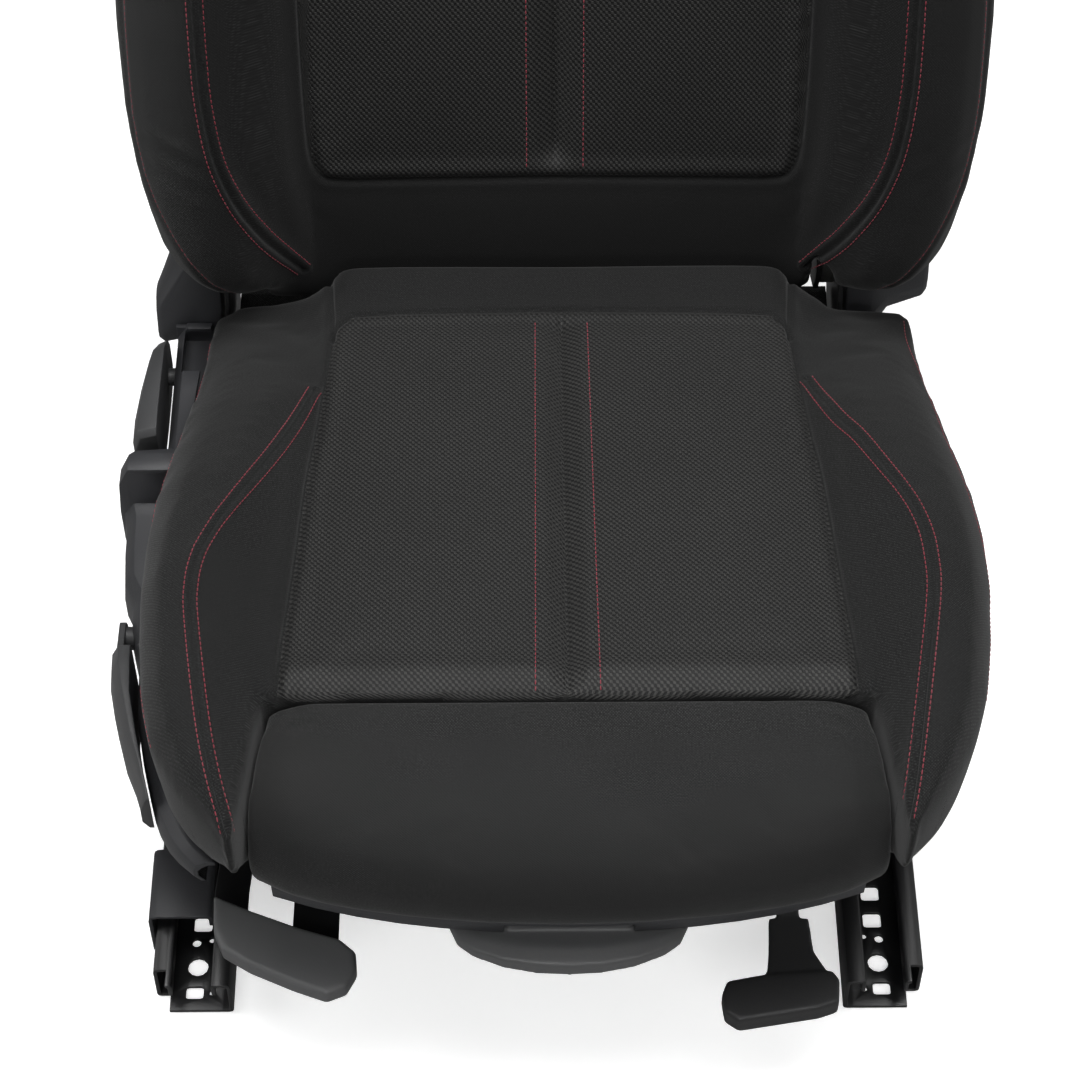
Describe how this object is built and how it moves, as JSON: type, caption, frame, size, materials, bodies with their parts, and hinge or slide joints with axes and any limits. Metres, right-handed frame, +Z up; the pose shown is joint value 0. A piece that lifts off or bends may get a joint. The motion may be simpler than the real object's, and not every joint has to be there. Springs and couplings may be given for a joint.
{
  "type": "sport seat",
  "caption": "Manual sport seat with bolstered cushion and backrest, sliding rails, height linkage, tilting pan, sliding thigh support, recliner and head restraint.",
  "frame": {"origin": "the middle of the left rail's mounting face, on the plane under both lower rails; the cushion's centre plane is x = 0.240 and the rails' mid-length is y = -0.060", "axes": "+Z up, -Y the way the occupant faces, +X to the occupant's left side (inboard side of the seat shown)"},
  "size_m": [0.5815, 0.9342, 0.9847],
  "materials": {
    "side_fabric": "fine black woven cloth on the bolsters, thigh pad and head restraint, coarse black mesh cloth on the centre panels",
    "trim_plastic": "grained black moulding",
    "lever_plastic": "satin black moulding",
    "shell_plastic": "black moulding",
    "black_steel": "black electrocoat",
    "zinc_steel": "zinc plate",
    "spring_wire": "dark drawn wire",
    "chrome": "bright plated"
  },
  "bodies": {
    "rails": {"lower_rail_left": "black_steel", "lower_rail_right": "black_steel"},
    "ball_cages": {"ball_cage_left": "trim_plastic", "ball_cage_right": "trim_plastic"},
    "carriage": {"upper_rail_left": "black_steel", "upper_rail_right": "black_steel", "rail_cover_left": "trim_plastic", "front_link_pin_left": "zinc_steel", "front_link_pin_right": "zinc_steel", "rear_link_pin_left": "zinc_steel", "rear_link_pin_right": "zinc_steel"},
    "slide_release": {"slide_release_bar": "black_steel", "slide_release_grip": "lever_plastic"},
    "front_links": {"front_link_left": "zinc_steel", "front_link_right": "zinc_steel", "front_torsion_tube": "zinc_steel"},
    "rear_links": {"rear_link_left": "zinc_steel", "rear_link_right": "zinc_steel", "rear_torsion_tube": "zinc_steel"},
    "seat_frame": {"side_member_left": "black_steel", "side_member_right": "black_steel", "front_cross_tube": "black_steel", "pan_pivot_rod": "zinc_steel", "height_pump": "zinc_steel", "side_valance_left": "trim_plastic", "inner_side_trim": "trim_plastic", "recliner_cover_left": "trim_plastic", "recliner_cover_right": "trim_plastic", "recliner_disc_left": "zinc_steel", "recliner_disc_right": "zinc_steel"},
    "tilt_release": {"tilt_release_lever": "lever_plastic"},
    "height_handle": {"height_lever": "lever_plastic"},
    "recline_handle": {"recline_lever": "lever_plastic"},
    "recliner_cross_shaft": {"recliner_shaft": "zinc_steel"},
    "pan": {"seat_pan": "black_steel", "cushion_pad": "side_fabric", "seat_spring_1": "spring_wire", "seat_spring_2": "spring_wire", "seat_spring_3": "spring_wire", "seat_spring_4": "spring_wire", "thigh_guide_left": "shell_plastic", "thigh_guide_right": "shell_plastic"},
    "thigh_support": {"thigh_pad": "side_fabric", "thigh_carrier": "shell_plastic", "front_trim": "trim_plastic", "thigh_rod_left": "zinc_steel", "thigh_rod_right": "zinc_steel"},
    "thigh_release": {"thigh_handle": "lever_plastic"},
    "backrest": {"back_side_member_left": "black_steel", "back_side_member_right": "black_steel", "back_frame_tube": "black_steel", "back_lower_cross_member": "black_steel", "lumbar_plate": "shell_plastic", "back_pad": "side_fabric", "back_shell": "shell_plastic", "headrest_sleeve_left": "trim_plastic", "headrest_sleeve_right": "trim_plastic"},
    "head_restraint": {"headrest_posts": "chrome", "headrest_pad": "side_fabric"},
    "headrest_latch": {"headrest_button": "lever_plastic"}
  },
  "joints": [
    {"name": "fore_aft", "type": "slide", "parent": "rails", "child": "carriage", "axis": [0, -1, 0], "range_m": [-0.12, 0.11]},
    {"name": "cage_travel", "type": "slide", "parent": "rails", "child": "ball_cages", "axis": [0, -1, 0], "range_m": [-0.061, 0.056]},
    {"name": "slide_release_pull", "type": "hinge", "parent": "carriage", "child": "slide_release", "pos_m": [0.24, -0.188, 0.056], "axis": [-1, 0, 0], "range_deg": [0, 6]},
    {"name": "height", "type": "hinge", "parent": "carriage", "child": "rear_links", "pos_m": [0.24, 0.09, 0.062], "axis": [1, 0, 0], "range_deg": [0, 50]},
    {"name": "front_link_swing", "type": "hinge", "parent": "carriage", "child": "front_links", "pos_m": [0.24, -0.165, 0.062], "axis": [1, 0, 0], "range_deg": [-1, 51]},
    {"name": "frame_level", "type": "hinge", "parent": "rear_links", "child": "seat_frame", "pos_m": [0.24, 0.16727, 0.08271], "axis": [1, 0, 0], "range_deg": [-51, 1]},
    {"name": "tilt_release_pull", "type": "hinge", "parent": "seat_frame", "child": "tilt_release", "pos_m": [0.24, -0.24, 0.115], "axis": [-1, 0, 0], "range_deg": [0, 12]},
    {"name": "height_pump_stroke", "type": "hinge", "parent": "seat_frame", "child": "height_handle", "pos_m": [0.24, -0.09, 0.128], "axis": [-1, 0, 0], "range_deg": [-12, 12]},
    {"name": "recline_lift", "type": "hinge", "parent": "seat_frame", "child": "recline_handle", "pos_m": [0.24, 0.118, 0.15], "axis": [-1, 0, 0], "range_deg": [0, 20]},
    {"name": "recliner_unlock", "type": "hinge", "parent": "seat_frame", "child": "recliner_cross_shaft", "pos_m": [0.24, 0.202, 0.205], "axis": [-1, 0, 0], "range_deg": [-1, 41]},
    {"name": "cushion_tilt", "type": "hinge", "parent": "seat_frame", "child": "pan", "pos_m": [0.24, 0.12, 0.14], "axis": [-1, 0, 0], "range_deg": [0, 3.5]},
    {"name": "thigh_extend", "type": "slide", "parent": "pan", "child": "thigh_support", "axis": [0, -1, 0], "range_m": [0, 0.05]},
    {"name": "thigh_handle_pull", "type": "hinge", "parent": "thigh_support", "child": "thigh_release", "pos_m": [0.24, -0.322, 0.164], "axis": [-1, 0, 0], "range_deg": [0, 6]},
    {"name": "recline", "type": "hinge", "parent": "seat_frame", "child": "backrest", "pos_m": [0.24, 0.202, 0.205], "axis": [-1, 0, 0], "range_deg": [-8, 38]},
    {"name": "headrest_height", "type": "slide", "parent": "backrest", "child": "head_restraint", "axis": [0, 0.4226, 0.9063], "range_m": [0, 0.07]},
    {"name": "headrest_latch_press", "type": "slide", "parent": "backrest", "child": "headrest_latch", "axis": [-1, 0, 0], "range_m": [0, 0.002]}
  ],
  "couplings": [
    {"joint": "cage_travel", "follows": "fore_aft", "ratio": 0.5},
    {"joint": "front_link_swing", "follows": "height", "ratio": 1},
    {"joint": "frame_level", "follows": "height", "ratio": -1},
    {"joint": "recliner_unlock", "follows": "recline_lift", "ratio": 2}
  ]
}
